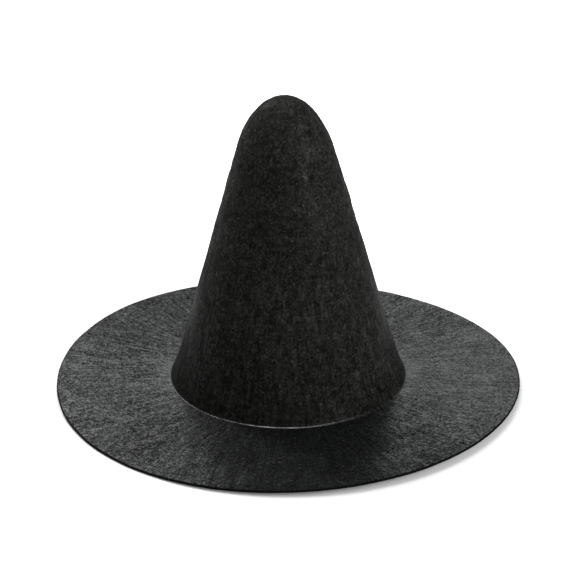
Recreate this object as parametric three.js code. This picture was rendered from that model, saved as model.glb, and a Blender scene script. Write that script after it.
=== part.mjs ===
// A black felt witch hat for an adult, standing on its brim, in millimetres with +Z up.
// The origin is the centre of the head opening, on the surface that the hat stands on.
// Crown and brim are pressed from one sheet of stiff felt. They are two solids here, parted at the
// crease where the crown wall turns out into the brim. A ribbon sweatband is sewn round the inside of
// the opening with its ends lapped at the centre back, and a folded care label hangs over the lap.
import * as THREE from 'three';

// Felt
const feltThickness = 1.8;
const brimRadius = 187.5;
const creaseRadius = 96; // outside of the crown wall where it meets the top of the brim
const crownRise = 231; // from the crease to the top of the tip
const wallLean = 0.297; // how far the wall comes in for each millimetre that it goes up
const wallRadius = 94.2; // where the straight wall would meet the height of the crease
const flareRise = 24; // height over which the foot of the wall turns outwards
const shoulderRise = 190; // where the straight wall ends and the rounded tip starts
const tipTurnRise = 213.5; // how far up the wall's line pulls the curve of the tip
const tipTopReach = 16.2; // how far out from the axis the tip's level top pulls it
const brimRise = 2.9; // how much higher the brim's edge lies than its flat middle
const flatRadius = 122; // the brim rests on the surface from the crease out to here
const footBend = 1.7; // radius of the turn from the inside wall to the underside
const bendMargin = 1; // the inside wall's outline starts this far above that turn
const clearance = 0.3; // between pieces that touch

// Ribbon and thread
const ribbonWidth = 28; // height of the sweatband inside the crown
const ribbonThickness = 0.8;
const ribbonFoot = 4; // height of the sweatband's lower edge
const ribbonGap = 0.4; // from the crown's inside wall
const lapAngle = THREE.MathUtils.degToRad(9);
const steppedInAngle = lapAngle / 3; // the ribbon is fully inwards this far before it passes its start
const threadDiameter = 0.5;
const seamAboveFoot = 3; // sweatband seam, above the ribbon's lower edge
const seamInset = THREE.MathUtils.degToRad(0.9); // sweatband seam, in from the lap's two edges
const lapSeamInset = THREE.MathUtils.degToRad(1.5); // lap seam, back from the ribbon's end
const lapSeamAboveSeam = 2; // lap seam's lower end, above the sweatband seam
const lapSeamBelowTop = 1.5; // lap seam's upper end, below the ribbon's upper edge

// Care label: a flap that hangs from a sewn hem
const labelWidth = 24;
const labelLength = 23;
const labelThickness = 0.4;
const hemHeight = 4;
const hemBelowRibbonTop = 2;
const foldGap = 0.5; // between the hem and the flap, where the label bends
const labelSeamInset = 1; // from each side of the label

// Fineness
const facets = 64; // round the hat
const tipSteps = 10;
const flareSteps = 4;
const bendSteps = 3;
const ribbonSteps = 84;
const ribbonRows = 4;
const threadSegments = 3; // in each half of a thread's section
const seamSteps = 72;

const creaseHeight = feltThickness;

const feltFinish = () => new THREE.MeshStandardMaterial({ color: 0x161717, roughness: 0.9, metalness: 0 });
const ribbonFinish = () => new THREE.MeshStandardMaterial({ color: 0x0d0d0e, roughness: 0.6, metalness: 0 });
const threadFinish = () => new THREE.MeshStandardMaterial({ color: 0x232425, roughness: 0.5, metalness: 0 });
const labelFinish = () => new THREE.MeshStandardMaterial({ color: 0xe4e2dc, roughness: 0.45, metalness: 0 });

// A point of a profile: distance from the hat's axis, and height above the crease.
const fromCrease = (radius, rise) => new THREE.Vector2(radius, creaseHeight + rise);

// The outside of the crown from the top of its tip down to the crease:
// a rounded tip, a straight wall, and a slight flare at the foot.
function crownOutline() {
  const wallAt = (rise) => fromCrease(wallRadius - wallLean * rise, rise);
  const tip = new THREE.CubicBezierCurve(
    fromCrease(0, crownRise),
    fromCrease(tipTopReach, crownRise),
    wallAt(tipTurnRise),
    wallAt(shoulderRise),
  );
  const foot = fromCrease(creaseRadius, 0);
  const flare = new THREE.QuadraticBezierCurve(wallAt(flareRise), wallAt(flareRise / 2), foot);
  return [...tip.getPoints(tipSteps), ...flare.getPoints(flareSteps)];
}

// The same outline moved square to itself by a distance, towards the inside of the crown.
function movedInwards(outline, distance) {
  return outline.map((here, i) => {
    if (i === 0) return new THREE.Vector2(0, here.y - distance);
    const before = outline[i - 1];
    const after = outline[Math.min(i + 1, outline.length - 1)];
    const along = after.clone().sub(before).normalize();
    return new THREE.Vector2(here.x + along.y * distance, here.y - along.x * distance);
  });
}

const outside = crownOutline();
const inside = movedInwards(outside, feltThickness);

// Radius of the crown's inside wall at a height.
function insideRadius(height) {
  const i = inside.findIndex((p) => p.y <= height);
  return THREE.MathUtils.mapLinear(height, inside[i].y, inside[i - 1].y, inside[i].x, inside[i - 1].x);
}

// A ring or shell turned about Z. Its profile runs down the outside and back up the inside.
function turned(profile) {
  return new THREE.LatheGeometry(profile.toReversed(), facets).rotateX(Math.PI / 2);
}

function named(name, geometry, material) {
  const mesh = new THREE.Mesh(geometry, material);
  mesh.name = name;
  return mesh;
}

function crown() {
  const bendRadius = insideRadius(footBend) + footBend;
  const bend = new THREE.EllipseCurve(bendRadius, footBend, footBend, footBend, -Math.PI / 2, -Math.PI, true);
  const wallAboveBend = inside.filter((p) => p.y > footBend + bendMargin).reverse();
  const profile = [
    ...outside,
    new THREE.Vector2(creaseRadius, 0),
    ...bend.getPoints(bendSteps),
    ...wallAboveBend,
  ];
  return named('crown', turned(profile), feltFinish());
}

// The brim lies flat round the opening and rises a little to its cut edge.
function brim() {
  const innerEdge = creaseRadius + clearance;
  const underside = [
    new THREE.Vector2(brimRadius, brimRise),
    new THREE.Vector2((flatRadius + brimRadius) / 2, brimRise / 3),
    new THREE.Vector2(flatRadius, 0),
    new THREE.Vector2(innerEdge, 0),
  ];
  const top = underside.map((p) => new THREE.Vector2(p.x, p.y + feltThickness)).reverse();
  return named('brim', turned([...top, ...underside, top[0]]), feltFinish());
}

// How far the ribbon has stepped inwards by an angle along it, so that its end lies over its start.
function lapStep(angle) {
  const start = 2 * Math.PI - lapAngle;
  const end = 2 * Math.PI - steppedInAngle;
  return (ribbonThickness + clearance) * THREE.MathUtils.smoothstep(angle, start, end);
}

// A point beside the crown's inside wall, at an angle along the ribbon from its start, a height,
// and a distance from the wall. The lap is centred on the back of the hat, at +Y.
function besideWall(angle, height, distance) {
  const radius = insideRadius(height) - distance - lapStep(angle);
  const fromBack = angle - lapAngle / 2;
  return new THREE.Vector3(-radius * Math.sin(fromBack), radius * Math.cos(fromBack), height);
}

// The sweatband is one length of ribbon, a little longer than the way round. Each cross-section goes
// up its wall side and down its head side.
function sweatband() {
  const positions = [];
  const faces = [];
  const size = 2 * ribbonRows;
  for (let i = 0; i <= ribbonSteps; i += 1) {
    const angle = ((2 * Math.PI + lapAngle) * i) / ribbonSteps;
    for (let j = 0; j < size; j += 1) {
      const row = Math.min(j, size - 1 - j);
      const height = ribbonFoot + (ribbonWidth * row) / (ribbonRows - 1);
      const depth = j < ribbonRows ? ribbonGap : ribbonGap + ribbonThickness;
      positions.push(besideWall(angle, height, depth));
      if (i < ribbonSteps) {
        const [a, b] = [i * size + j, i * size + ((j + 1) % size)];
        faces.push(a, b + size, b, a, a + size, b + size);
      }
    }
  }
  const last = ribbonSteps * size;
  for (let j = 0; j < ribbonRows - 1; j += 1) {
    const [a, b, c, d] = [j, j + 1, size - 2 - j, size - 1 - j];
    faces.push(a, b, c, a, c, d);
    faces.push(last + a, last + c, last + b, last + a, last + d, last + c);
  }
  const geometry = new THREE.BufferGeometry().setFromPoints(positions).setIndex(faces);
  return named('sweatband', geometry, ribbonFinish());
}

// A length of thread along a path.
function thread(name, path, steps) {
  const section = new THREE.Shape().absarc(0, 0, threadDiameter / 2, 0, 2 * Math.PI);
  const geometry = new THREE.ExtrudeGeometry(section, {
    curveSegments: threadSegments,
    steps,
    extrudePath: path,
  });
  return named(name, geometry, threadFinish());
}

const threadFromWall = ribbonGap + ribbonThickness + clearance + threadDiameter / 2;

// The seam that holds the sweatband to the felt, from one edge of the lap round to the other.
class SweatbandSeam extends THREE.Curve {
  getPoint(t) {
    const angle = THREE.MathUtils.lerp(lapAngle + seamInset, 2 * Math.PI + lapAngle - seamInset, t);
    return besideWall(angle, ribbonFoot + seamAboveFoot, threadFromWall);
  }
}

function sweatbandSeamThread() {
  return thread('sweatband_seam_thread', new SweatbandSeam(), seamSteps);
}

// The upright seam that closes the lap, near the end of the ribbon and above the seam at its foot.
function lapSeamThread() {
  const angle = 2 * Math.PI + lapAngle - lapSeamInset;
  const low = besideWall(angle, ribbonFoot + seamAboveFoot + lapSeamAboveSeam, threadFromWall);
  const high = besideWall(angle, ribbonFoot + ribbonWidth - lapSeamBelowTop, threadFromWall);
  return thread('lap_seam_thread', new THREE.LineCurve3(low, high), 1);
}

// The label's parts lie in one upright plane, just clear of the lap's head side and its seam.
const hemTop = ribbonFoot + ribbonWidth - hemBelowRibbonTop;
const lapFace = insideRadius(hemTop) - ribbonGap - 2 * ribbonThickness - clearance;
const labelDepth = lapFace - 2 * clearance - threadDiameter - labelThickness / 2;
const foldHeight = hemTop - hemHeight;

function labelPanel(name, height, top) {
  const panel = named(name, new THREE.BoxGeometry(labelWidth, labelThickness, height), labelFinish());
  panel.position.set(0, labelDepth, top - height / 2);
  return panel;
}

// The hem is sewn to the sweatband. The flap hangs straight down from it, clear of the sweatband.
const labelHem = () => labelPanel('label_hem', hemHeight, hemTop);
const careLabel = () => labelPanel('care_label', labelLength, foldHeight - foldGap);

function labelSeamThread() {
  const depth = labelDepth - labelThickness / 2 - clearance - threadDiameter / 2;
  const height = hemTop - hemHeight / 2;
  const reach = labelWidth / 2 - labelSeamInset;
  const path = new THREE.LineCurve3(
    new THREE.Vector3(-reach, depth, height),
    new THREE.Vector3(reach, depth, height),
  );
  return thread('label_seam_thread', path, 1);
}

const hat = new THREE.Group();
hat.add(crown(), brim());
hat.add(sweatband(), sweatbandSeamThread(), lapSeamThread());
hat.add(labelHem(), labelSeamThread(), careLabel());

export default hat;
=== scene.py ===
"""Looks for the pressed felt witch hat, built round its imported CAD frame. Lengths are in metres.

The felt is one sheet, drawn over a block and pressed flat round the opening. It is made as two shells
that share their cut line just outside the crease. Each shell is an outline turned round the hat's axis,
with the relief of drawn felt: streaks that run up the wall and out over the brim, lumps at the tip
where the felt wasn't stretched, and a brim that has warped a little. Loose fibres stand off the felt.

Inside the crown are a grosgrain sweatband with its ends lapped at the centre back, a folded satin care
label that hangs over the lap, and the rows of stitches that hold them.
"""

import math
import random

import bmesh
import bpy
import numpy as np
from mathutils import Matrix, Vector, noise


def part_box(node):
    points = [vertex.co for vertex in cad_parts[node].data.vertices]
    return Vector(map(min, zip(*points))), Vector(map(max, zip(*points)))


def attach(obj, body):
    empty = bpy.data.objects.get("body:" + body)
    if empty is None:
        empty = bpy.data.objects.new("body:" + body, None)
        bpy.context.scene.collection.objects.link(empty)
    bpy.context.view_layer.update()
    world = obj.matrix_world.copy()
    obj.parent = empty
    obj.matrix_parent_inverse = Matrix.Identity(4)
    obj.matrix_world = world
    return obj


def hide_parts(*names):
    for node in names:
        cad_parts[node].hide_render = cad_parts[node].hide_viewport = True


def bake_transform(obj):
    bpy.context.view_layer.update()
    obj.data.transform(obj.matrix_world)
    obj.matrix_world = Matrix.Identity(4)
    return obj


MM = 0.001

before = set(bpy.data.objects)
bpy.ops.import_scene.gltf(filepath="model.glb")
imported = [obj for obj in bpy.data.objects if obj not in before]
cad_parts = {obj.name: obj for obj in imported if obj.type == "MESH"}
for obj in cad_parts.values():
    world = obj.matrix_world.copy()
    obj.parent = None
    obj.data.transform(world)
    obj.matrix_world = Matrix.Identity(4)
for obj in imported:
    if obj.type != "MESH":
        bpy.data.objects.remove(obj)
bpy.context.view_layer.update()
crown_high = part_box("crown")[1]
brim_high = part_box("brim")[1]
band_low, band_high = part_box("sweatband")
hem_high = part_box("label_hem")[1]
flap_low, flap_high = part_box("care_label")

# The felt's outline. Rises are measured from the crease, which is level with the top of the brim.
FELT = 1.8 * MM
CREASE_HEIGHT = FELT
CREASE_RADIUS = crown_high.x
CREASE_FILLET = 1.1 * MM
SPLIT_RADIUS = CREASE_RADIUS + CREASE_FILLET  # cut line between the crown's shell and the brim's
CROWN_RISE = crown_high.z - CREASE_HEIGHT
WALL_LEAN = 0.297  # how far the wall comes in for each metre that it goes up
WALL_RADIUS = 94.2 * MM  # where the straight wall would meet the height of the crease
FLARE_RISE = 38 * MM  # height over which the foot of the wall turns outwards
SHOULDER_RISE = 190 * MM  # where the straight wall ends and the rounded tip starts
TIP_PULL = 213.5 * MM  # how far up the wall's line pulls the curve of the tip
TIP_WIDTH = 16.2 * MM  # how far out from the axis the tip's level top pulls it
BRIM_RADIUS = brim_high.x
FLAT_RADIUS = 104 * MM  # the brim lies flat out to here
DISH_RADIUS = 1.12 * BRIM_RADIUS  # past the edge, where the brim's upward curve would end
DISH_RISE = 1.18 * (brim_high.z - FELT)  # how high that curve would rise
EDGE_CLEARANCE = 0.05 * MM  # between the lowest part of the edge and what the hat stands on
LIP = ((0.35 * MM, 0.86), (0.5 * MM, 0.5), (0.3 * MM, 0.14))  # rounds the cut edge: out, share of height
LIP_FUZZ = (0.7, 0.2, 0)

# How the brim has warped: the waves in one turn, with their cosine and sine heights at its edge
BRIM_WAVES = {2: (1.07 * MM, -2.91 * MM), 3: (0.23 * MM, 0.56 * MM)}
WARP_POWER = 1.6  # the warp grows faster towards the edge

# Fineness of the felt
SEGMENTS = 480  # round the hat
CROWN_RINGS = 118
BRIM_RINGS = 57
NARROW_RINGS = (0.993, 0.9975, 1)  # the last ones before the cut edge, as shares of the brim's width
TIP_STEPS = 60
FLARE_STEPS = 20
FILLET_STEPS = 8
SHARP_ANGLE = math.radians(50)  # faces that meet at more than this have a sharp edge

# Shine is the weight of a thin gloss where fibres were pressed flat, and below 0 a place is duller than
# the rest. The terms below that change it by angle are painted sheen, glint and shadow, set where the
# lights fall on the hat. Angles are measured from the hat's right, so its front is at -90 degrees.
BRIM_SHINE = -0.06
PAINTED_SIDE_SHEEN = 0.15  # painted sheen: more on the brim's two sides, where it reflects the lights most
PAINTED_RIGHT_LIGHT = 0.08  # painted light: more on its right, and less on its left
PAINTED_SHADOW_DIP = 0.14  # painted shadow of the crown: less round one place at its front
PAINTED_SHADOW_CENTRE = math.radians(-72)
PAINTED_CREASE_SHEEN = 0.2  # painted sheen: more beside the crease, on the two sides
PAINTED_CREASE_REACH = 16 * MM
PAINTED_FILLET_SHEEN = 0.5  # painted sheen on the outer half of the crease's fillet, on the two sides
PAINTED_RIM_HIGHLIGHT = 0.08  # painted rim highlight, low on the crown's two sides
CREASE_GLINT = 0.7  # painted glint: a broken line in the crease at the front
CREASE_GLINT_CENTRE = math.radians(-97)
CREASE_GLINT_REACH = math.radians(44)
CUT_EDGE_SHINE = -1.0
DULLEST = -0.35  # where the shine is less than this, the fibres' own shine is gone too
UNDRAWN = 0.1  # how far the felt is drawn at the tip, where 1 is as far as at the crease

# Sweatband
RIBBON_FOOT = band_low.z
RIBBON_TOP = band_high.z
RIBBON_THICKNESS = 0.8 * MM
RIBBON_GAP = 0.4 * MM  # from the crown's inside wall
LAP_ANGLE = math.radians(9)
BAND_ANGLE = 2 * math.pi + LAP_ANGLE
LAP_CLEARANCE = 0.3 * MM
RIB_PITCH = 1.15 * MM
RIB_HEIGHT = 0.11 * MM
STEPS_PER_RIB = 4
BAND_ROWS = 10

# Stitches
THREAD = 0.42 * MM
STITCH_PITCH = 3.0 * MM
STITCH_LENGTH = 2.6 * MM
SEAM_INSET = math.radians(0.9)  # sweatband seam, in from the lap's two edges
LAP_SEAM_INSET = math.radians(1.5)  # lap seam, back from the ribbon's end

# Care label: two layers of thin satin ribbon, folded at the foot and sewn in at the top
LABEL_FOLD_HEIGHT = 25.5 * MM  # where it bends below its hem
LABEL_CURL = 0.5 * MM  # how far the satin curls towards the head over LABEL_CURL_REACH
LABEL_CURL_REACH = 20 * MM
SATIN = 0.14 * MM
LABEL_ROWS = 44
LABEL_COLUMNS = 17
TURN_ROWS = 7  # round the fold at its foot

# Loose fibres
FIBRES_PER_SQUARE_METRE = 30000.0
FIBRE_THICKNESS = 0.03  # as a share of its length
FIBRE_LIFT = 0.2


# ---- outlines


def bezier(points, count):
    """Points along a Bezier curve of any degree, its two ends included."""
    points = np.array(points, float)[:, None, :]
    t = np.linspace(0, 1, count)[:, None]
    while len(points) > 1:
        points = points[:-1] * (1 - t) + points[1:] * t
    return points[0]


def even(path, count):
    """The same path with count points at equal distances."""
    steps = np.hypot(*np.diff(path, axis=0).T)
    along = np.concatenate([[0], np.cumsum(steps)])
    wanted = np.linspace(0, along[-1], count)
    return np.stack([np.interp(wanted, along, path[:, k]) for k in (0, 1)], 1)


def outward(path):
    """Unit normals of a path that runs down the outside of the hat, pointing out of the felt."""
    ahead = np.gradient(path, axis=0)
    ahead /= np.hypot(*ahead.T)[:, None]
    return np.stack([-ahead[:, 1], ahead[:, 0]], 1)


def wall_point(rise):
    """A point in line with the straight wall, as (radius, height)."""
    return (WALL_RADIUS - WALL_LEAN * rise, CREASE_HEIGHT + rise)


def crown_outline(count):
    """The crown's outside from the top of its tip to the cut line, as (radius, height).

    It has count points down to the fillet, and FILLET_STEPS more in the fillet.
    """
    top = CREASE_HEIGHT + CROWN_RISE
    tip = bezier([(0, top), (TIP_WIDTH, top), wall_point(TIP_PULL), wall_point(SHOULDER_RISE)], TIP_STEPS)
    foot = (CREASE_RADIUS - 0.4 * CREASE_FILLET, CREASE_HEIGHT + CREASE_FILLET)
    flare = bezier([wall_point(FLARE_RISE), wall_point(FLARE_RISE / 2), foot], FLARE_STEPS)
    fillet = bezier([foot, (CREASE_RADIUS, CREASE_HEIGHT), (SPLIT_RADIUS, CREASE_HEIGHT)], FILLET_STEPS)
    main = even(np.concatenate([tip, flare[:-1]]), count)
    return np.concatenate([main, fillet])


# ---- relief of the felt


ANGLES = np.linspace(0, 2 * math.pi, SEGMENTS, endpoint=False)


def field(around, along, seed):
    """Smooth noise over a surface that closes on itself: around and along are in wavelengths."""
    return np.array(
        [noise.noise(Vector((x, y, z + seed))) for (x, y), z in zip(around.reshape(-1, 2), along.ravel())]
    ).reshape(along.shape)


def noise_over(along, turns, wavelength, seed):
    """Noise with a number of waves in a turn of the hat, and a wavelength along its outline."""
    circle = np.stack([np.cos(ANGLES), np.sin(ANGLES)], -1) * turns / (2 * math.pi)
    around = np.broadcast_to(circle, (len(along), SEGMENTS, 2))
    return field(around, np.broadcast_to(along[:, None] / wavelength, around.shape[:2]), seed)


def noise_round(turns, seed):
    """Noise round one ring, with a number of waves in a turn."""
    return noise_over(np.zeros(1), turns, wavelength=1, seed=seed)[0]


def fade(x, start, end):
    """0 before start, 1 after end, smooth between them."""
    t = np.clip((x - start) / (end - start), 0, 1)
    return t * t * (3 - 2 * t)


def brim_warp(share):
    """How far the brim has warped up or down, by share of the way to its edge and by angle."""
    wave = sum(
        cosine * np.cos(waves * ANGLES) + sine * np.sin(waves * ANGLES)
        for waves, (cosine, sine) in BRIM_WAVES.items()
    )
    return share[:, None] ** WARP_POWER * wave[None, :]


def brim_form(radius, share):
    """Height of the brim's underside without its relief: flat, then curved up, and warped. What the
    hat stands on presses it up wherever it would go lower."""
    dish = DISH_RISE * fade(radius, FLAT_RADIUS, DISH_RADIUS)[:, None]
    clear = EDGE_CLEARANCE * fade(radius, FLAT_RADIUS, BRIM_RADIUS)[:, None]
    return np.maximum(dish + brim_warp(share), 0) + clear


def drawn_ridges(radius):
    """Low ridges that the press drew out of the crease, each fading before the brim's edge."""
    maker = random.Random(31)
    ridge_count = 46
    out = radius - CREASE_RADIUS
    height = np.zeros((len(radius), SEGMENTS))
    for _ in range(ridge_count):
        centre = maker.uniform(0, 2 * math.pi)
        width = maker.uniform(1.6, 4.2) * MM
        reach = maker.uniform(16, 62) * MM
        bend = maker.uniform(-0.35, 0.35)
        top = maker.uniform(-0.16, 0.26) * MM
        turn = ANGLES[None, :] - centre - bend * (out / BRIM_RADIUS)[:, None]
        across = np.abs((turn + math.pi) % (2 * math.pi) - math.pi) * radius[:, None]
        length = fade(out, 0, 8 * MM) * (1 - fade(out, 0.5 * reach, reach))
        height += top * np.exp(-((across / width) ** 2)) * length[:, None]
    return height


def brim_relief(radius):
    """Height of the brim's surface over its form: drawn ridges, radial streaks and mottling."""
    out = radius - CREASE_RADIUS
    streaks = noise_over(out, turns=150, wavelength=30 * MM, seed=3.1) * 0.14 * MM
    fine = noise_over(out, turns=330, wavelength=11 * MM, seed=8.7) * 0.07 * MM
    lumps = noise_over(out, turns=26, wavelength=26 * MM, seed=5.3) * 0.20 * MM
    settled = fade(out, 0.5 * MM, 9 * MM)[:, None]
    return (streaks + fine + lumps + drawn_ridges(radius)) * settled


def crown_relief(path):
    """The same on the crown. Streaks fade up the wall, and the tip is lumpy instead."""
    up = (path[:, 1] - CREASE_HEIGHT) / CROWN_RISE
    drop = -path[:, 1]
    streaks = noise_over(drop, turns=120, wavelength=34 * MM, seed=12.5) * 0.13 * MM
    lumps = noise_over(drop, turns=15, wavelength=24 * MM, seed=17.9) * 0.5 * MM
    bumps = noise_over(drop, turns=44, wavelength=7 * MM, seed=21.3) * 0.45 * MM
    drawn = (1 - fade(up, 0.25, 0.8))[:, None]
    settled = fade(up, 0.01, 0.06)[:, None] * fade(path[:, 0], 1 * MM, 16 * MM)[:, None]
    return (streaks * drawn + lumps + bumps * (1.15 - drawn)) * settled


def crown_lean(height):
    """The crown leans a little to one side, more towards the tip."""
    up = np.clip((height - CREASE_HEIGHT) / CROWN_RISE, 0, 1)
    return -(0.96 * up + 1.1 * up**2) * MM


# ---- shine of the felt


def painted_crease_glint():
    """How strongly a painted glint shows in the crease, by angle: a broken line at the front of the hat."""
    from_front = (ANGLES - CREASE_GLINT_CENTRE) % (2 * math.pi)
    from_front = np.minimum(from_front, 2 * math.pi - from_front)
    broken = np.clip(0.75 + 0.9 * noise_round(turns=150, seed=60.4), 0, 1)
    return CREASE_GLINT * broken * (1 - fade(from_front, 0.1 * CREASE_GLINT_REACH, CREASE_GLINT_REACH))


def crown_painted_sheen(profile, up):
    """The crown's painted sheen and glint, by its points as (radius, height) and by how far up the crown they
    are.
    """
    from_crease = np.hypot(profile[..., 0] - CREASE_RADIUS, profile[..., 1] - CREASE_HEIGHT)
    in_crease = 1 - fade(from_crease, 0.3 * MM, 1.2 * MM)
    on_fillet = fade(profile[..., 0], CREASE_RADIUS - 0.3 * MM, SPLIT_RADIUS)
    # A painted rim highlight low on the crown's two sides, where they glance the light from behind.
    rim_band = fade(up, 0.03, 0.1) * (1 - fade(up, 0.2, 0.42))
    at_sides = np.cos(ANGLES)[None, :] ** 6
    shines = (
        in_crease * painted_crease_glint()[None, :],
        PAINTED_FILLET_SHEEN * on_fillet * at_sides,
        PAINTED_RIM_HIGHLIGHT * rim_band * at_sides**3,
    )
    return np.maximum.reduce(shines)


def brim_gloss_and_painted_sheen(radius):
    """The shine of the brim's top, by radius and by angle: its own gloss, with painted sheen and painted
    shadow.
    """
    at_sides = np.cos(ANGLES) ** 4
    shine = BRIM_SHINE + PAINTED_SIDE_SHEEN * at_sides + PAINTED_RIGHT_LIGHT * np.cos(ANGLES)
    # A painted shadow of the crown on the front of the brim.
    shine -= PAINTED_SHADOW_DIP * np.maximum(np.cos(ANGLES - PAINTED_SHADOW_CENTRE), 0) ** 6
    # Painted sheen beside the crease, on the two sides.
    near_crease = 1 - fade(radius - CREASE_RADIUS, 2 * MM, PAINTED_CREASE_REACH)
    return shine[None, :] + PAINTED_CREASE_SHEEN * near_crease[:, None] * (at_sides**3)[None, :]


# ---- meshes


def lofted(name, rings, poles=None, capped=False):
    """A closed mesh through rings of points. The rings meet two poles, or end caps, or each other."""
    count, size = rings.shape[:2]
    points = rings.reshape(-1, 3)
    j = np.arange(size)
    after = (j + 1) % size
    open_ended = poles is not None or capped
    joins = [(i, i + 1) for i in range(count - 1)] + ([] if open_ended else [(count - 1, 0)])
    faces = []
    for upper, lower in joins:
        square = np.stack([upper * size + j, lower * size + j, lower * size + after, upper * size + after], 1)
        faces += square.tolist()
    end = (count - 1) * size
    if capped:
        faces += [j.tolist(), (end + j[::-1]).tolist()]
    if poles is not None:
        points = np.concatenate([points, np.array(poles)])
        first, last = len(points) - 2, len(points) - 1
        faces += np.stack([np.full(size, first), j, after], 1).tolist()
        faces += np.stack([np.full(size, last), end + after, end + j], 1).tolist()
    mesh = bpy.data.meshes.new(name)
    mesh.from_pydata(points.tolist(), [], faces)
    mesh.validate()
    face_outwards(mesh)
    mesh.shade_smooth()
    mesh.set_sharp_from_angle(angle=SHARP_ANGLE)
    return new_object(name, mesh)


def face_outwards(mesh):
    """Turns a closed mesh round if it is inside out."""
    solid = bmesh.new()
    solid.from_mesh(mesh)
    if solid.calc_volume(signed=True) < 0:
        bmesh.ops.reverse_faces(solid, faces=solid.faces)
        solid.to_mesh(mesh)
    solid.free()


def new_object(name, data):
    made = bpy.data.objects.new(name, data)
    bpy.context.scene.collection.objects.link(made)
    return made


def around_axis(radius, height):
    """Points on circles: radius and height are arrays of (ring, angle)."""
    return np.stack([radius * np.cos(ANGLES), radius * np.sin(ANGLES), height], -1)


def store(piece, name, values, at_poles=()):
    """Keeps a number for each vertex on the piece, for its material and its fibres to read."""
    layer = piece.data.attributes.new(name, "FLOAT", "POINT")
    numbers = np.concatenate([np.ravel(values), at_poles])
    layer.data.foreach_set("value", numbers.astype(np.float32))


def felt_crown():
    outside = crown_outline(CROWN_RINGS)
    normals = outward(outside)
    relief = crown_relief(outside)
    skin = outside[:, None, :] + normals[:, None, :] * relief[:, :, None]

    # The inside wall has every second ring, and stops above the turn at the foot.
    rows = slice(0, -FILLET_STEPS - 4, 2)
    wall = outside[rows] - normals[rows] * FELT
    lining = wall[:, None, :] + normals[rows][:, None, :] * relief[rows][:, :, None] * 0.5
    inner_radius = CREASE_RADIUS - FELT
    under_foot = [(SPLIT_RADIUS, 0), (inner_radius + 0.6 * MM, 0), (inner_radius, 0.6 * FELT)]
    turn = bezier([*under_foot, wall_point(3 * MM)], 8)[:-1]
    turn = np.broadcast_to(turn[:, None, :], (len(turn), SEGMENTS, 2))

    profile = np.concatenate([skin[1:], turn, lining[1:][::-1]])
    rings = around_axis(profile[..., 0], profile[..., 1])
    rings[..., 0] += crown_lean(rings[..., 2])
    tops = (outside[0, 1], outside[0, 1] - FELT)
    poles = [(float(crown_lean(z)), 0, float(z)) for z in tops]
    piece = lofted("felt_crown", rings, poles)

    up = (profile[..., 1] - CREASE_HEIGHT) / CROWN_RISE
    store(piece, "drawn", 1 - (1 - UNDRAWN) * fade(up, 0.2, 0.85), at_poles=(UNDRAWN, UNDRAWN))
    # On the crown, the "pressed" attribute holds only painted sheen and glint.
    store(piece, "pressed", crown_painted_sheen(profile, up), at_poles=(0, 0))
    fuzz = np.zeros(rings.shape[:2])
    fuzz[: len(skin) - FILLET_STEPS - 2] = 1
    store(piece, "fuzz", fuzz, at_poles=(1, 0))
    return piece


def felt_brim():
    share = np.append(np.linspace(0, 1, BRIM_RINGS + 1)[:-1], NARROW_RINGS)
    radius = SPLIT_RADIUS + (BRIM_RADIUS - SPLIT_RADIUS) * share
    cut = noise_round(turns=42, seed=40.2) * 0.0018 + noise_round(turns=300, seed=44.9) * 0.0007
    spread = 1 + cut[None, :] * share[:, None] ** 4
    form = brim_form(radius, share)
    relief = brim_relief(radius)
    top = form + FELT + relief
    under = np.maximum(form + relief * 0.4, 0)

    edge_radius = radius[-1:, None] * spread[-1:]
    edge = [
        around_axis(edge_radius + out, under[-1:] + (top[-1:] - under[-1:]) * part) for out, part in LIP
    ]
    upper = around_axis(radius[:, None] * spread, top)
    lower = around_axis(radius[:, None] * spread, under)[::-1]
    piece = lofted("felt_brim", np.concatenate([upper, *edge, lower]))

    outness = np.concatenate([share, np.ones(len(LIP)), share[::-1]])
    store(piece, "drawn", np.repeat(1 - 0.45 * outness, SEGMENTS))
    # The top's last two rings are already part of the cut edge.
    shine = brim_gloss_and_painted_sheen(radius)[:-2]
    cut_edge = np.full((len(LIP) + 2, SEGMENTS), CUT_EDGE_SHINE)
    # The brim's "pressed" attribute holds its gloss, with painted sheen and shadow, and its dull cut edge.
    store(piece, "pressed", np.concatenate([shine, cut_edge, np.zeros(under.shape)]))
    fuzz = np.concatenate([fade(share, 0.02, 0.1), LIP_FUZZ, np.zeros(len(share))])
    store(piece, "fuzz", np.repeat(fuzz, SEGMENTS))
    return piece


def inside_radius(height):
    """Radius of the crown's inside wall at a height near its foot."""
    outside = crown_outline(400)
    inside = (outside - outward(outside) * FELT)[:-FILLET_STEPS]
    return np.interp(height, inside[::-1, 1], inside[::-1, 0])


def beside_wall(angle, height, distance):
    """A point beside the crown's inside wall: its angle from the ribbon's start, its height, and its
    distance from the wall. Near the ribbon's end it has stepped inwards, to lie over the start."""
    stepped_in = fade(angle, 2 * math.pi - LAP_ANGLE, 2 * math.pi - LAP_ANGLE / 3)
    radius = inside_radius(height) - distance - (RIBBON_THICKNESS + LAP_CLEARANCE) * stepped_in
    from_back = angle - LAP_ANGLE / 2
    height = np.broadcast_to(height, radius.shape)
    return np.stack([-radius * np.sin(from_back), radius * np.cos(from_back), height], -1)


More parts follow.
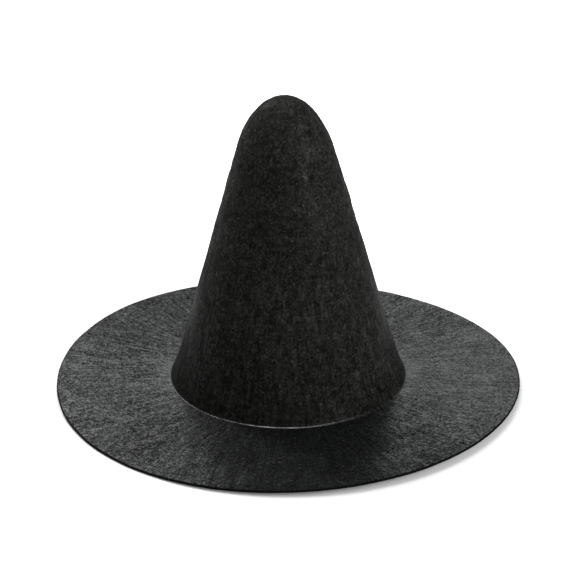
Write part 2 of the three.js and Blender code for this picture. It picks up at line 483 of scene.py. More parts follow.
def grosgrain_band():
    """The sweatband before its ribs are raised: one length of ribbon with a bead along each selvedge."""
    ribs = round(BAND_ANGLE * inside_radius(RIBBON_FOOT) / RIB_PITCH)
    angle = np.linspace(0, BAND_ANGLE, STEPS_PER_RIB * ribs + 1)
    share = (1 - np.cos(np.linspace(0, math.pi, BAND_ROWS))) / 2
    height = RIBBON_FOOT + (RIBBON_TOP - RIBBON_FOOT) * share
    from_edge = np.minimum(height - RIBBON_FOOT, RIBBON_TOP - height)
    bead = 1 + 0.25 * (1 - fade(from_edge, 0.6 * MM, 1.4 * MM))
    rounded = np.sqrt(1 - np.clip(1 - from_edge / (0.4 * MM), 0, 0.95) ** 2)
    half = RIBBON_THICKNESS / 2 * bead * rounded
    middle = RIBBON_GAP + RIBBON_THICKNESS / 2
    heights = np.concatenate([height, height[::-1]])
    depths = np.concatenate([middle - half, middle + half[::-1]])
    rings = beside_wall(angle[:, None], heights[None, :], depths[None, :])
    piece = lofted("grosgrain_band", rings, capped=True)
    store(piece, "along", np.repeat(angle / BAND_ANGLE * ribs * RIB_PITCH, len(heights)))
    ribbed = fade(from_edge, 0.5 * MM, 1.5 * MM)
    store(piece, "ribbed", np.tile(np.concatenate([ribbed, ribbed[::-1]]), len(angle)))
    return piece


def label_depth(x, height):
    """Where the label lies: it follows the sweatband at its hem, and hangs free and flat below it."""
    face = inside_radius(RIBBON_TOP) - RIBBON_GAP - 2 * RIBBON_THICKNESS - LAP_CLEARANCE
    sewn = np.sqrt((face - 1.5 * SATIN) ** 2 - x**2)
    hanging = (flap_low.y + flap_high.y) / 2
    below_fold = LABEL_FOLD_HEIGHT - np.minimum(height, LABEL_FOLD_HEIGHT)
    curl = LABEL_CURL * (below_fold / LABEL_CURL_REACH) ** 2 * (1 + 0.7 * x / flap_high.x)
    held = fade(height, LABEL_FOLD_HEIGHT, LABEL_FOLD_HEIGHT + 2.5 * MM)
    return hanging - curl + (sewn - hanging) * held


def folded_label():
    """One length of satin, folded in two at the foot of the label, with both ends in the hem."""
    down = np.linspace(hem_high.z, flap_low.z + SATIN, LABEL_ROWS)
    turn = np.linspace(0, math.pi, TURN_ROWS + 2)[1:-1]
    height = np.concatenate([down, down[-1] - SATIN * np.sin(turn), down[::-1]])
    # layer is -1 on the head side and 1 on the band's side, and goes from one to the other in the turn.
    layer = np.concatenate([np.full(LABEL_ROWS, -1.0), -np.cos(turn), np.full(LABEL_ROWS, 1.0)])
    apart = 0.55 * SATIN
    across = np.linspace(-1, 1, LABEL_COLUMNS) * flap_high.x
    x = np.concatenate([across, across[::-1]])
    skin = np.repeat([SATIN, 0.0], LABEL_COLUMNS)
    y = label_depth(x[None, :], height[:, None]) + layer[:, None] * (apart + skin[None, :])
    z = height[:, None] - np.sqrt(1 - layer**2)[:, None] * skin[None, :]
    rings = np.stack([np.broadcast_to(x, y.shape), y, z], -1)
    piece = lofted("folded_label", rings, capped=True)
    steps = np.hypot(np.diff(height), np.diff(layer) * apart)
    store(piece, "along", np.repeat(np.concatenate([[0], np.cumsum(steps)]), len(x)))
    return piece


def guide_line(points):
    """A bare line for stitches to follow. It is only used while they are made."""
    mesh = bpy.data.meshes.new("guide")
    mesh.from_pydata([tuple(p) for p in points], [(i, i + 1) for i in range(len(points) - 1)], [])
    return new_object("guide", mesh)


def stitch_lines():
    """The three seams on the head side of the sweatband and the label: the name of each row of
    stitches, the CAD node that it stands for, and the points of its line."""
    surface = RIBBON_GAP + RIBBON_THICKNESS + 0.5 * RIB_HEIGHT
    low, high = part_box("sweatband_seam_thread")
    angle = np.linspace(LAP_ANGLE + SEAM_INSET, BAND_ANGLE - SEAM_INSET, 400)
    height = np.full(len(angle), (low.z + high.z) / 2)
    yield "sweatband_stitches", "sweatband_seam_thread", beside_wall(angle, height, surface)
    low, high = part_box("lap_seam_thread")
    height = np.linspace(low.z + STITCH_LENGTH / 2, high.z - STITCH_LENGTH / 2, 12)
    angle = np.full(len(height), BAND_ANGLE - LAP_SEAM_INSET)
    yield "lap_stitches", "lap_seam_thread", beside_wall(angle, height, surface)
    low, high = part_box("label_seam_thread")
    x = np.linspace(low.x + STITCH_LENGTH / 2, high.x - STITCH_LENGTH / 2, 12)
    height = np.full(len(x), (low.z + high.z) / 2)
    depth = label_depth(x, height) - 1.6 * SATIN
    yield "label_stitches", "label_seam_thread", np.stack([x, depth, height], -1)


crown = felt_crown()
brim = felt_brim()
band = grosgrain_band()
label = folded_label()


# ---- node helpers


def link(tree, output, target):
    tree.links.new(output, target)


def node(tree, kind, inputs=(), **settings):
    """Adds a node. inputs maps a socket's name or number to a value or to another node's output."""
    made = tree.nodes.new(kind)
    for key, value in settings.items():
        setattr(made, key, value)
    for key, value in dict(inputs).items():
        if isinstance(value, bpy.types.NodeSocket):
            link(tree, value, made.inputs[key])
        else:
            made.inputs[key].default_value = value
    return made


def sums(tree, operation, a, b=0.0, c=0.0, clamp=False):
    """A sum with up to three numbers."""
    return node(tree, "ShaderNodeMath", {0: a, 1: b, 2: c}, operation=operation, use_clamp=clamp).outputs[0]


def times(tree, a, b):
    return sums(tree, "MULTIPLY", a, b)


def remap(tree, value, low, high, to_low=0.0, to_high=1.0):
    ranged = {0: value, 1: low, 2: high, 3: to_low, 4: to_high}
    return node(tree, "ShaderNodeMapRange", ranged, clamp=True).outputs[0]


def vector(tree, x=0.0, y=0.0, z=0.0):
    return node(tree, "ShaderNodeCombineXYZ", {0: x, 1: y, 2: z}).outputs[0]


def parts_of(tree, place):
    return node(tree, "ShaderNodeSeparateXYZ", {0: place}).outputs


def vector_sums(tree, operation, inputs):
    return node(tree, "ShaderNodeVectorMath", inputs, operation=operation).outputs


def noise_texture(tree, place, scale, **settings):
    inputs = {"Vector": place, "Scale": scale, **settings}
    return node(tree, "ShaderNodeTexNoise", inputs).outputs[0]


def blend_colours(tree, share, first, second):
    """first at a share of 0, second at 1. Each is a node's output, or a colour's red, green and blue."""
    colours = [c if isinstance(c, bpy.types.NodeSocket) else (*c, 1) for c in (first, second)]
    inputs = {0: share, 6: colours[0], 7: colours[1]}
    return node(tree, "ShaderNodeMix", inputs, data_type="RGBA").outputs[2]


def new_input(tree, name, kind, default=None):
    made = tree.interface.new_socket(name=name, in_out="INPUT", socket_type="NodeSocket" + kind)
    if default is not None:
        made.default_value = default


def effect_group(name, inputs, outputs):
    """A shader node group, and its sockets to read from and to write to. It takes a vector and the
    inputs, each a number with its default, and puts out the outputs, which are numbers too."""
    tree = bpy.data.node_groups.new(name, "ShaderNodeTree")
    new_input(tree, "Vector", "Vector")
    for input_name, default in inputs.items():
        new_input(tree, input_name, "Float", default)
    for output_name in outputs:
        tree.interface.new_socket(name=output_name, in_out="OUTPUT", socket_type="NodeSocketFloat")
    return tree, tree.nodes.new("NodeGroupInput").outputs, tree.nodes.new("NodeGroupOutput").inputs


def placed(tree, group, inputs):
    return node(tree, "ShaderNodeGroup", inputs, node_tree=group).outputs


# ---- effects shared by the materials


def tangled_fibres_group():
    """Wavy fibres lying every way, as in felt or spun thread. Height and Clumps are about a half."""
    sizes = {"Fibre Size": 0.0012, "Clump Size": 0.005}
    tree, given, result = effect_group("tangled_fibres", sizes, ["Height", "Clumps"])
    fibre_scale = sums(tree, "DIVIDE", 1.0, given["Fibre Size"])
    clump_scale = sums(tree, "DIVIDE", 1.0, given["Clump Size"])
    grain = noise_texture(tree, given["Vector"], fibre_scale, Detail=3.5, Distortion=1.4)
    clumps = noise_texture(tree, given["Vector"], clump_scale, Detail=2.0, Distortion=0.7)
    # Long strands lie where a coarser noise crosses its middle. They raise the grain, which is
    # lowered again by about as much as they raise it on average.
    coarser = times(tree, fibre_scale, 0.45)
    strand_field = noise_texture(tree, given["Vector"], coarser, Detail=3.5, Distortion=1.6)
    off_centre = sums(tree, "ABSOLUTE", sums(tree, "SUBTRACT", strand_field, 0.5))
    strands = remap(tree, off_centre, 0.0, 0.05, 1.0, 0.0)
    height = sums(tree, "MULTIPLY_ADD", strands, 0.13, sums(tree, "SUBTRACT", grain, 0.035))
    link(tree, height, result["Height"])
    link(tree, clumps, result["Clumps"])
    return tree


def drawn_streaks_group():
    """Streaks that run up the wall and out over the brim, where a press has drawn the felt."""
    sizes = {"Streaks Round": 60.0, "Streak Length": 0.02}
    tree, given, result = effect_group("drawn_streaks", sizes, ["Height"])
    x, y, z = parts_of(tree, given["Vector"])
    flat = vector(tree, x, y)
    radius = vector_sums(tree, "LENGTH", {0: flat})["Value"]
    direction = vector_sums(tree, "NORMALIZE", {0: flat})[0]
    ring = vector_sums(tree, "SCALE", {0: direction, "Scale": given["Streaks Round"]})[0]
    along = sums(tree, "SUBTRACT", radius, z)
    lift = vector(tree, z=sums(tree, "DIVIDE", along, given["Streak Length"]))
    place = vector_sums(tree, "ADD", {0: ring, 1: lift})[0]
    streaks = noise_texture(tree, place, 1.0, Detail=2.0, Roughness=0.6, Distortion=0.15)
    link(tree, streaks, result["Height"])
    return tree


def lint_group():
    """Scattered specks of lint and dust, as a mask."""
    tree, given, result = effect_group("lint", {"Spacing": 0.006, "Speck": 0.09}, ["Mask"])
    scale = sums(tree, "DIVIDE", 1.0, given["Spacing"])
    cells = node(tree, "ShaderNodeTexVoronoi", {"Vector": given["Vector"], "Scale": scale}).outputs
    pick = node(tree, "ShaderNodeSeparateColor", {0: cells["Color"]}).outputs[0]
    size = times(tree, given["Speck"], sums(tree, "ADD", pick, 0.3))
    near = sums(tree, "SUBTRACT", size, cells["Distance"])
    link(tree, remap(tree, near, 0.0, 0.03), result["Mask"])
    return tree


def weave_group():
    """Woven threads: the warp runs along the vector's X, and the weft passes under it along Y."""
    sizes = {"Warp Pitch": 0.0004, "Weft Pitch": 0.001}
    tree, given, result = effect_group("weave", sizes, ["Height", "Uneven"])
    parts = parts_of(tree, given["Vector"])
    uneven = noise_texture(tree, given["Vector"], 700.0, Detail=2.0)
    wander = times(tree, uneven, 1.2)
    waves = []
    for part, pitch in ((parts[1], "Warp Pitch"), (parts[0], "Weft Pitch")):
        turns = times(tree, sums(tree, "DIVIDE", part, given[pitch]), math.pi)
        waves.append(sums(tree, "ABSOLUTE", sums(tree, "SINE", sums(tree, "ADD", turns, wander))))
    height = times(tree, waves[0], sums(tree, "MULTIPLY_ADD", waves[1], 0.6, 0.4))
    link(tree, height, result["Height"])
    link(tree, uneven, result["Uneven"])
    return tree


tangled_fibres = tangled_fibres_group()
drawn_streaks = drawn_streaks_group()
lint = lint_group()
weave = weave_group()


# ---- materials


def new_material(name, **constants):
    """A material with one Principled shader. constants are set on the shader's own sockets."""
    material = bpy.data.materials.new(name)
    material.use_nodes = True
    tree = material.node_tree
    shader = tree.nodes["Principled BSDF"]
    for socket_name, value in constants.items():
        shader.inputs[socket_name.replace("_", " ")].default_value = value
    place = node(tree, "ShaderNodeTexCoord").outputs["Object"]
    return material, tree, shader.inputs, place


def stored_value(tree, name):
    return node(tree, "ShaderNodeAttribute", attribute_name=name).outputs["Fac"]


def bumped(tree, shader, height, distance, strength):
    bump = node(tree, "ShaderNodeBump", {"Height": height, "Distance": distance, "Strength": strength})
    link(tree, bump.outputs[0], shader["Normal"])


def felt_material(name, grain, dark, light, fibre_shine, contrast, streaks_round, rim_shine):
    """Black felt. Its fibres lie flat where it was pressed and shine, as a thin coat of varying weight.
    The weight stored on the piece also holds painted sheen, glint and shadow.

    grain is the size of the fibres' tangle. dark and light are the colours in the hollows and on the
    fibres, and fibre_shine is the coat's weight in the two places. contrast is how strongly the
    grain, the streaks and the patches each show. rim_shine is how much the loose surface glances light.
    """
    material, tree, shader, place = new_material(
        name, IOR=1.15, Specular_IOR_Level=rim_shine, Coat_Roughness=0.27, Coat_IOR=2.3
    )
    drawn = stored_value(tree, "drawn")
    pressed = stored_value(tree, "pressed")
    fibres = placed(tree, tangled_fibres, {"Vector": place, "Fibre Size": grain, "Clump Size": 24 * MM})
    streak_inputs = {"Vector": place, "Streaks Round": streaks_round, "Streak Length": 22 * MM}
    streaks = placed(tree, drawn_streaks, streak_inputs)["Height"]
    specks = placed(tree, lint, {"Vector": place, "Spacing": 6 * MM, "Speck": 0.1})["Mask"]

    # The pattern starts at a half, or a little more at the tip. The power keeps its light places few.
    pattern = remap(tree, drawn, UNDRAWN, UNDRAWN + 0.01, 0.57, 0.5)
    parts = (fibres["Height"], streaks, fibres["Clumps"])
    for part, strength, where in zip(parts, contrast, (1.0, drawn, 1.0)):
        swing = times(tree, sums(tree, "SUBTRACT", part, 0.5), strength)
        pattern = sums(tree, "MULTIPLY_ADD", swing, where, pattern)
    pattern = sums(tree, "POWER", remap(tree, pattern, 0.0, 1.0), 2.2)
    colour = blend_colours(tree, pattern, dark, light)
    colour = blend_colours(tree, times(tree, specks, 0.5), colour, (0.07, 0.071, 0.07))
    link(tree, colour, shader["Base Color"])
    link(tree, remap(tree, fibres["Clumps"], 0.3, 0.7, 0.86, 0.74), shader["Roughness"])
    own_shine = remap(tree, pattern, 0.0, 1.0, *fibre_shine)
    own_shine = times(tree, own_shine, remap(tree, pressed, DULLEST, 0.0))
    # The stored weight, with its painted sheen, glint and shadow, goes into the coat.
    gloss_and_painted_sheen = sums(tree, "MAXIMUM", pressed, 0.0)
    link(tree, sums(tree, "ADD", gloss_and_painted_sheen, own_shine, clamp=True), shader["Coat Weight"])
    bumped(tree, shader, pattern, distance=0.4 * MM, strength=0.45)
    return material


def grosgrain_material():
    """Black ribbed ribbon: the warp shows as fine lines along it, and the crests of its ribs catch light."""
    material, tree, shader, place = new_material(
        "black_grosgrain", IOR=1.4, Specular_IOR_Level=0.35, Sheen_Weight=0.15, Sheen_Roughness=0.4
    )
    flat = vector(tree, stored_value(tree, "along"), parts_of(tree, place)[2])
    cloth = placed(tree, weave, {"Vector": flat, "Warp Pitch": 0.42 * MM, "Weft Pitch": RIB_PITCH})
    specks = placed(tree, lint, {"Vector": place, "Spacing": 7 * MM, "Speck": 0.06})["Mask"]
    colour = blend_colours(tree, cloth["Height"], (0.006, 0.006, 0.0065), (0.021, 0.021, 0.0225))
    colour = blend_colours(tree, times(tree, specks, 0.5), colour, (0.1, 0.1, 0.1))
    link(tree, colour, shader["Base Color"])
    link(tree, remap(tree, cloth["Uneven"], 0.3, 0.7, 0.62, 0.46), shader["Roughness"])
    bumped(tree, shader, cloth["Height"], distance=0.12 * MM, strength=0.7)
    return material


def satin_material():
    """Off-white satin with nothing printed on it: long glossy floats along the ribbon."""
    material, tree, shader, place = new_material(
        "blank_satin", IOR=1.45, Specular_IOR_Level=0.5, Sheen_Weight=0.1
    )
    flat = vector(tree, stored_value(tree, "along"), parts_of(tree, place)[0])
    cloth = placed(tree, weave, {"Vector": flat, "Warp Pitch": 0.3 * MM, "Weft Pitch": 1.6 * MM})
    specks = placed(tree, lint, {"Vector": place, "Spacing": 5 * MM, "Speck": 0.03})["Mask"]
    colour = blend_colours(tree, cloth["Height"], (0.6, 0.58, 0.54), (0.8, 0.785, 0.75))
    colour = blend_colours(tree, specks, colour, (0.1, 0.1, 0.1))
    link(tree, colour, shader["Base Color"])
    link(tree, remap(tree, cloth["Uneven"], 0.3, 0.7, 0.3, 0.5), shader["Roughness"])
    bumped(tree, shader, cloth["Height"], distance=0.05 * MM, strength=0.6)
    return material


def thread_material():
    """Spun polyester: two plies twisted together, with loose fibre ends."""
    material, tree, shader, place = new_material("black_thread", IOR=1.45, Specular_IOR_Level=0.4)
    twist = node(
        tree,
        "ShaderNodeTexWave",
        {"Vector": place, "Scale": 1 / (2 * THREAD), "Distortion": 0.6, "Detail": 1.0},
        bands_direction="DIAGONAL",
    ).outputs["Fac"]
    fibres = placed(tree, tangled_fibres, {"Vector": place, "Fibre Size": 0.2 * MM, "Clump Size": 3 * MM})
    height = sums(tree, "MULTIPLY_ADD", twist, 0.7, times(tree, fibres["Height"], 0.3))
    link(tree, blend_colours(tree, height, (0.01, 0.01, 0.011), (0.05, 0.05, 0.053)), shader["Base Color"])
    link(tree, remap(tree, fibres["Clumps"], 0.3, 0.7, 0.42, 0.6), shader["Roughness"])
    bumped(tree, shader, height, distance=0.1 * MM, strength=0.8)
    return material


def fibre_material():
    """The hat's own loose fibres. A few are paler than the rest."""
    material, tree, shader, place = new_material("loose_fibre", IOR=1.4, Roughness=0.6)
    shade = noise_texture(tree, place, 400.0, Detail=1.0)
    paleness = remap(tree, shade, 0.4, 0.75)
    link(tree, blend_colours(tree, paleness, (0.02, 0.021, 0.02), (0.2, 0.205, 0.2)), shader["Base Color"])
    link(tree, remap(tree, shade, 0.3, 0.7, 0.7, 0.45), shader["Roughness"])
    return material


brim_felt = felt_material(
    "brim_felt",
    grain=2.2 * MM,
    dark=(0.0005, 0.0008, 0.0006),
    light=(0.003, 0.0044, 0.0036),
    fibre_shine=(0.0, 1.6),
    contrast=(1.9, 1.05, 0.35),
    streaks_round=70.0,
    rim_shine=0.4,
)
crown_felt = felt_material(
    "crown_felt",
    grain=3.6 * MM,
    dark=(0.0015, 0.0019, 0.0013),
    light=(0.036, 0.038, 0.0345),
    fibre_shine=(0.0, 0.03),
    contrast=(1.35, 0.75, 0.2),
    streaks_round=36.0,
    rim_shine=0.32,
)
grosgrain = grosgrain_material()
satin = satin_material()
thread = thread_material()
fibre = fibre_material()


# ---- what repeats: ribs, stitches, fibres


def growing_tree(name, inputs):
    """A Geometry Nodes tree. It takes geometry, the inputs, each a number with its default, and last a
    material."""
    tree = bpy.data.node_groups.new(name, "GeometryNodeTree")
    new_input(tree, "Geometry", "Geometry")
    for input_name, default in inputs.items():
        new_input(tree, input_name, "Int" if isinstance(default, int) else "Float", default)
    new_input(tree, "Material", "Material")
    tree.interface.new_socket(name="Geometry", in_out="OUTPUT", socket_type="NodeSocketGeometry")
    return tree, tree.nodes.new("NodeGroupInput").outputs


def end_tree(tree, given, geometry):
    """Ends a tree in real geometry with its material set."""
    real = node(tree, "GeometryNodeRealizeInstances", {"Geometry": geometry}).outputs[0]
    smooth = node(tree, "GeometryNodeSetShadeSmooth", {"Geometry": real}).outputs[0]
    painted = node(tree, "GeometryNodeSetMaterial", {"Geometry": smooth, "Material": given["Material"]})
    link(tree, painted.outputs[0], tree.nodes.new("NodeGroupOutput").inputs["Geometry"])
    return tree


def stored_number(tree, name):
    return node(tree, "GeometryNodeInputNamedAttribute", {"Name": name}, data_type="FLOAT").outputs[0]


def random_between(tree, low, high, seed):
    inputs = {2: low, 3: high, "Seed": seed}
    return node(tree, "FunctionNodeRandomValue", inputs, data_type="FLOAT").outputs[1]


def pointed_along(tree, direction, axis, rotation=None, about="AUTO"):
    """The rotation turned so that an axis points along a direction, as far as it can about another."""
    inputs = {"Vector": direction} if rotation is None else {"Rotation": rotation, "Vector": direction}
    kind = "FunctionNodeAlignRotationToVector"
    return node(tree, kind, inputs, axis=axis, pivot_axis=about).outputs[0]


def raised_ribs_tree():
    """Raises ribs across a ribbon, by its distance "along" and by how "ribbed" it is there."""
    tree, given = growing_tree("raised_ribs", {"Rib Pitch": 0.001, "Rib Height": 0.0001})
    turns = sums(tree, "DIVIDE", stored_number(tree, "along"), given["Rib Pitch"])
    wave = sums(tree, "ABSOLUTE", sums(tree, "SINE", times(tree, turns, math.pi)))
    ribs = times(tree, wave, stored_number(tree, "ribbed"))
    lift = times(tree, ribs, given["Rib Height"])
    normal = node(tree, "GeometryNodeInputNormal").outputs[0]
    offset = vector_sums(tree, "SCALE", {0: normal, "Scale": lift})[0]
    moved = node(tree, "GeometryNodeSetPosition", {"Geometry": given["Geometry"], "Offset": offset})
    return end_tree(tree, given, moved.outputs[0])


def bent_thread(tree, points, resolution, thickness, sides, end_share):
    """A short rod bent through three points, thickest at its middle. end_share is the thickness of its
    ends, as a share of that."""
    start, middle, end = points
    inputs = {"Resolution": resolution, "Start": start, "Middle": middle, "End": end}
    line = node(tree, "GeometryNodeCurveQuadraticBezier", inputs).outputs[0]
    factor = node(tree, "GeometryNodeSplineParameter").outputs["Factor"]
    bulge = times(tree, factor, sums(tree, "SUBTRACT", 1.0, factor))
    taper = sums(tree, "MULTIPLY_ADD", bulge, 4 * (1 - end_share), end_share)
    section = node(tree, "GeometryNodeCurvePrimitiveCircle", {"Resolution": sides}).outputs[0]
    scale = times(tree, taper, times(tree, thickness, 0.5))
    swept = {"Curve": line, "Profile Curve": section, "Scale": scale, "Fill Caps": True}
    return node(tree, "GeometryNodeCurveToMesh", swept).outputs[0]


def stitch_row_tree():
    """Machine stitches along a line. They lie along it and bulge towards the hat's axis."""
    sizes = {"Stitch Pitch": 0.003, "Stitch Length": 0.0025, "Thread": 0.0004}
    tree, given = growing_tree("stitch_row", sizes)
    half = times(tree, given["Stitch Length"], 0.5)
    back = times(tree, half, -1.0)
    sunk = times(tree, given["Thread"], -0.55)
    points = (vector(tree, back, z=sunk), vector(tree, z=given["Thread"]), vector(tree, half, z=sunk))
    stitch = bent_thread(tree, points, resolution=7, thickness=given["Thread"], sides=6, end_share=0.7)
    line = node(tree, "GeometryNodeMeshToCurve", {"Mesh": given["Geometry"]}).outputs[0]
    spacing = {"Curve": line, "Length": given["Stitch Pitch"]}
    marks = node(tree, "GeometryNodeResampleCurve", spacing, mode="LENGTH").outputs[0]
    tangent = node(tree, "GeometryNodeInputTangent").outputs[0]
    position = node(tree, "GeometryNodeInputPosition").outputs[0]
    inwards = vector_sums(tree, "MULTIPLY", {0: position, 1: (-1, -1, 0)})[0]
    lying = pointed_along(tree, tangent, "X")
    turned = pointed_along(tree, inwards, "Z", lying, about="X")
    sewn = {"Points": marks, "Instance": stitch, "Rotation": turned}
    row = node(tree, "GeometryNodeInstanceOnPoints", sewn).outputs[0]
    return end_tree(tree, given, row)


def loose_fibres_tree():
    """Short bent fibres that stand a little off the felt, as many as its "fuzz" says."""
    sizes = {
        "Fibres per Square Metre": 30000.0,
        "Length": 0.004,
        "Thickness": 0.00007,
        "Lift": 0.2,
        "Drawn Up": 0.0,
        "Seed": 1,
    }
    tree, given = growing_tree("loose_fibres", sizes)
    density = times(tree, stored_number(tree, "fuzz"), given["Fibres per Square Metre"])
    scatter = {"Mesh": given["Geometry"], "Density": density, "Seed": given["Seed"]}
    spots = node(tree, "GeometryNodeDistributePointsOnFaces", scatter).outputs

    # One strand starts just under the felt, rises to its lift, and bends aside as it comes down.
    length = given["Length"]
    rooted = vector(tree, z=times(tree, given["Thickness"], -0.3))
    lift = times(tree, length, given["Lift"])
    lifted = vector(tree, times(tree, length, 0.6), z=lift)
    ended = vector(tree, times(tree, length, 0.8), times(tree, length, 0.45))
    points = (rooted, lifted, ended)
    strand = bent_thread(tree, points, resolution=4, thickness=given["Thickness"], sides=3, end_share=0.4)

    # It is combed the way the felt was drawn: out from the axis, and up or down by Drawn Up. It strays
    # from that by up to half a turn where the felt is undrawn, and by less where it is drawn.
    position = node(tree, "GeometryNodeInputPosition").outputs[0]
    outwards = vector_sums(tree, "MULTIPLY", {0: position, 1: (1, 1, 0)})[0]
    outwards = vector_sums(tree, "NORMALIZE", {0: outwards})[0]
    drawing = vector_sums(tree, "ADD", {0: outwards, 1: vector(tree, z=given["Drawn Up"])})[0]
    combed = pointed_along(tree, drawing, "X", spots["Rotation"], about="Z")
    straying = remap(tree, stored_number(tree, "drawn"), 0.0, 1.0, 1.0, 0.25)
    facing = times(tree, random_between(tree, -math.pi, math.pi, seed=11), straying)
    tilt = random_between(tree, -0.4, 0.05, seed=12)
    turn = node(tree, "FunctionNodeEulerToRotation", {0: vector(tree, y=tilt, z=facing)}).outputs[0]
    turned = {"Rotation": combed, "Rotate By": turn}
    rotation = node(tree, "FunctionNodeRotateRotation", turned, rotation_space="LOCAL").outputs[0]
    size = random_between(tree, 0.3, 1.1, seed=13)
    grown_in = {
        "Points": spots["Points"],
        "Instance": strand,
        "Rotation": rotation,
        "Scale": times(tree, size, size),
    }
    return end_tree(tree, given, node(tree, "GeometryNodeInstanceOnPoints", grown_in).outputs[0])


def grown(source, tree, name, material, values):
    """The plain mesh that a tree makes from an object, as a new piece."""
    modifier = source.modifiers.new(tree.name, "NODES")
    modifier.node_group = tree
    sockets = {item.name: item.identifier for item in tree.interface.items_tree if item.in_out == "INPUT"}
    for input_name, value in {**values, "Material": material}.items():
        modifier[sockets[input_name]] = value
    bpy.context.view_layer.update()
    graph = bpy.context.evaluated_depsgraph_get()
    mesh = bpy.data.meshes.new_from_object(source.evaluated_get(graph), depsgraph=graph)
    source.modifiers.remove(modifier)
    mesh.name = name
    return new_object(name, mesh)


raised_ribs = raised_ribs_tree()
stitch_row = stitch_row_tree()
loose_fibres = loose_fibres_tree()


# ---- fitting the pieces to the frame


def finish_piece(piece, material, body, slot, *nodes):
    """Gives a piece its material and body; slot is not used. A piece that bends across a joint has no body
    here.
    """
    piece.data.materials.clear()
    piece.data.materials.append(material)
    if body:
        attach(piece, body)
    if nodes:
        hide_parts(*nodes)


def ribbed_sweatband():
    sizes = {"Rib Pitch": RIB_PITCH, "Rib Height": RIB_HEIGHT}
    ribbon = grown(band, raised_ribs, "sweatband_ribbon", grosgrain, sizes)
    bpy.data.objects.remove(band)
    finish_piece(ribbon, grosgrain, "hat", "ribbon", "sweatband")
    return ribbon


def sewn_stitches():
    """The three rows of stitches, in the order of stitch_lines."""
    sizes = {"Stitch Pitch": STITCH_PITCH, "Stitch Length": STITCH_LENGTH, "Thread": THREAD}
    rows = []
    for name, stands_for, points in stitch_lines():
        guide = guide_line(points)
        row = grown(guide, stitch_row, name, thread, sizes)
        bpy.data.objects.remove(guide)
        finish_piece(row, thread, "hat", "thread", stands_for)
        rows.append(row)
    return rows


def bend_label():
    """Bakes the label's placing into its mesh."""
    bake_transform(label)


def loose_fibres_on(felt, name, length, drawn_up, seed):
    sizes = {
        "Fibres per Square Metre": FIBRES_PER_SQUARE_METRE,
        "Length": length,
        "Thickness": FIBRE_THICKNESS * length,
        "Lift": FIBRE_LIFT,
        "Drawn Up": drawn_up,
        "Seed": seed,
    }
    fibres = grown(felt, loose_fibres, name, fibre, sizes)
    finish_piece(fibres, fibre, "hat", "felt")


finish_piece(crown, crown_felt, "hat", "felt", "crown")
finish_piece(brim, brim_felt, "hat", "felt", "brim")
sweatband = ribbed_sweatband()
band_stitches, lap_stitches, label_stitches = sewn_stitches()
finish_piece(label, satin, None, "label", "label_hem", "care_label")
bend_label()
loose_fibres_on(crown, "crown_fibres", length=2.6 * MM, drawn_up=-1.0, seed=5)
loose_fibres_on(brim, "brim_fibres", length=3.6 * MM, drawn_up=0.5, seed=9)

BAND_ANGLE * float(inside_radius(RIBBON_FOOT))


# ---- floor, light and camera

FLOOR_REACH = 4.0
FLOOR_DROP = 0.2 * MM  # keeps the floor out of the plane of the brim's underside
FLOOR_WHITE = 0.8
FLOOR_GLOW = (0.1, 0.75)  # under the hat, and away from it
GLOW_RADIUS = (0.19, 0.3)  # where the first ends and the second starts

# The camera looks at a point on the crown, from the front and a little above.
CAMERA_DISTANCE = 5.5 * BRIM_RADIUS
CAMERA_ELEVATION = math.radians(26.68)
CAMERA_ROLL = math.radians(-0.26)
AIM_SIDE = 0.2 * MM
AIM_RISE = 0.378 * BRIM_RADIUS
LENS_MM = 78.14
SENSOR_MM = 36


def pale_floor():
    """A white floor that also glows, as one does under even light from all round. It glows less under
    the hat, where the brim keeps that light out."""
    mesh = bpy.data.meshes.new("floor")
    corners = [(-1, -1), (1, -1), (1, 1), (-1, 1)]
    points = [(x * FLOOR_REACH, y * FLOOR_REACH, -FLOOR_DROP) for x, y in corners]
    mesh.from_pydata(points, [], [(0, 1, 2, 3)])
    floor = new_object("floor", mesh)
    material, tree, shader, place = new_material(
        "floor_white", Roughness=0.9, IOR=1.2, Base_Color=(*[FLOOR_WHITE] * 3, 1), Emission_Strength=1.0
    )
    distance = vector_sums(tree, "LENGTH", {0: place})["Value"]
    glow = remap(tree, distance, *GLOW_RADIUS, *FLOOR_GLOW)
    colour = node(tree, "ShaderNodeCombineColor", {0: glow, 1: glow, 2: glow}).outputs[0]
    link(tree, colour, shader["Emission Color"])
    mesh.materials.append(material)


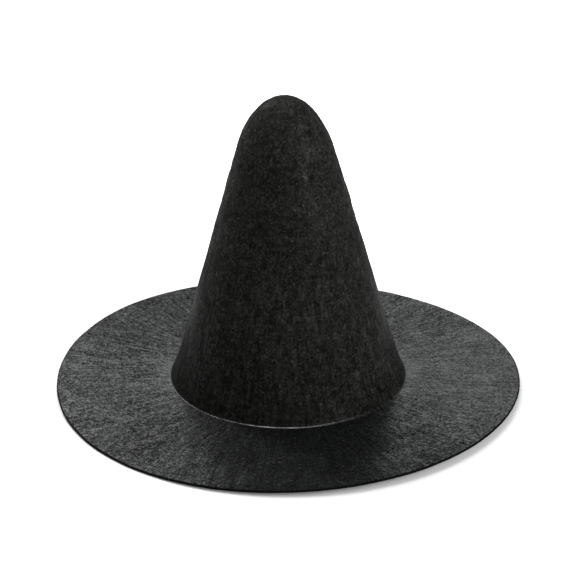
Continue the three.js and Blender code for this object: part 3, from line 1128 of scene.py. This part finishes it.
def soft_box(name, place, target, size, radiance):
    """A square light of even radiance, in units where full white is 1."""
    light = bpy.data.lights.new(name, "AREA")
    light.shape = "SQUARE"
    light.size = size
    light.energy = radiance * math.pi * size * size
    holder = new_object(name, light)
    holder.location = place
    aim = Vector(target) - Vector(place)
    holder.rotation_euler = aim.to_track_quat("-Z", "Y").to_euler()


def studio_world(front, back, top):
    """Soft light from all round: a bright backdrop behind the hat and a dim room in front of it, each
    as its levels on the left and on the right, and a level overhead."""
    world = bpy.data.worlds.new("studio")
    bpy.context.scene.world = world
    world.use_nodes = True
    tree = world.node_tree
    x, y, z = parts_of(tree, node(tree, "ShaderNodeTexCoord").outputs["Generated"])
    room = remap(tree, x, -1.0, 1.0, *front)
    backdrop = remap(tree, x, -0.7, 0.7, *back)
    level = node(tree, "ShaderNodeMix", {0: remap(tree, y, -0.15, 0.5), 2: room, 3: backdrop}).outputs[0]
    level = node(tree, "ShaderNodeMix", {0: remap(tree, z, 0.55, 0.95), 2: level, 3: top}).outputs[0]
    background = tree.nodes["Background"].inputs
    link(tree, level, background["Strength"])
    background["Color"].default_value = (0.965, 1, 0.982, 1)


def front_camera():
    lens = bpy.data.cameras.new("camera")
    lens.lens = LENS_MM
    lens.sensor_width = SENSOR_MM
    lens.clip_start = 0.01
    camera = new_object("camera", lens)
    place = Vector((0, -math.cos(CAMERA_ELEVATION), math.sin(CAMERA_ELEVATION))) * CAMERA_DISTANCE
    place.z += brim_high.z
    aim = Vector((AIM_SIDE, 0, brim_high.z + AIM_RISE))
    turn = (aim - place).to_track_quat("-Z", "Y").to_matrix().to_4x4()
    camera.matrix_world = Matrix.Translation(place) @ turn @ Matrix.Rotation(CAMERA_ROLL, 4, "Z")
    bpy.context.scene.camera = camera


bpy.context.scene.view_settings.view_transform = "Standard"
pale_floor()
studio_world(front=(0.036, 0.204), back=(1.003, 0.459), top=0.45)
soft_box("key", place=(-0.8, 1.05, 1.3), target=(0, 0, 0.05), size=0.4, radiance=38.0)
soft_box("overhead", place=(-0.1, 0.15, 1.5), target=(0, 0, 0.1), size=0.9, radiance=5.0)
soft_box("fill", place=(1.4, -0.9, 0.9), target=(0, 0, 0.1), size=1.2, radiance=5.5)
front_camera()
